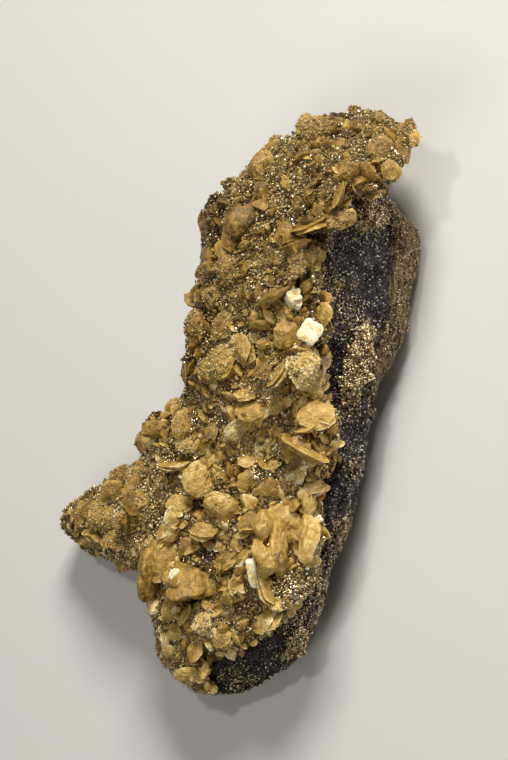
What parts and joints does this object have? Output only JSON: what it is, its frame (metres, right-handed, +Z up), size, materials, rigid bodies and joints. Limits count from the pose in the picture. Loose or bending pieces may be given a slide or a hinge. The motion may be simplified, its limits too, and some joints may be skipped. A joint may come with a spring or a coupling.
{
  "type": "siderite with pyrite specimen",
  "caption": "Mineral specimen: a thick crust of tan, lens-shaped siderite crystals with brassy pyrite on dark, finely crystalline sulphide rock, lying on its broken back.",
  "frame": {"origin": "middle of the footprint, on the surface that the flat broken back rests on", "axes": "+Y along the specimen from its narrow foot to its overhanging top, +Z up through the siderite crust, +X towards the bare dark flank"},
  "size_m": [0.0927, 0.1178, 0.0376],
  "materials": {
    "sulphide_rock": "dark, finely crystalline, glittering",
    "siderite": "waxy, translucent tan crystals with some cream cleavages",
    "pyrite": "brassy metallic grains"
  },
  "bodies": {
    "root": {"matrix": "sulphide_rock", "siderite_crust": "siderite", "pyrite_band": "pyrite", "pyrite_druse": "pyrite", "pyrite_foot": "pyrite"}
  },
  "joints": []
}
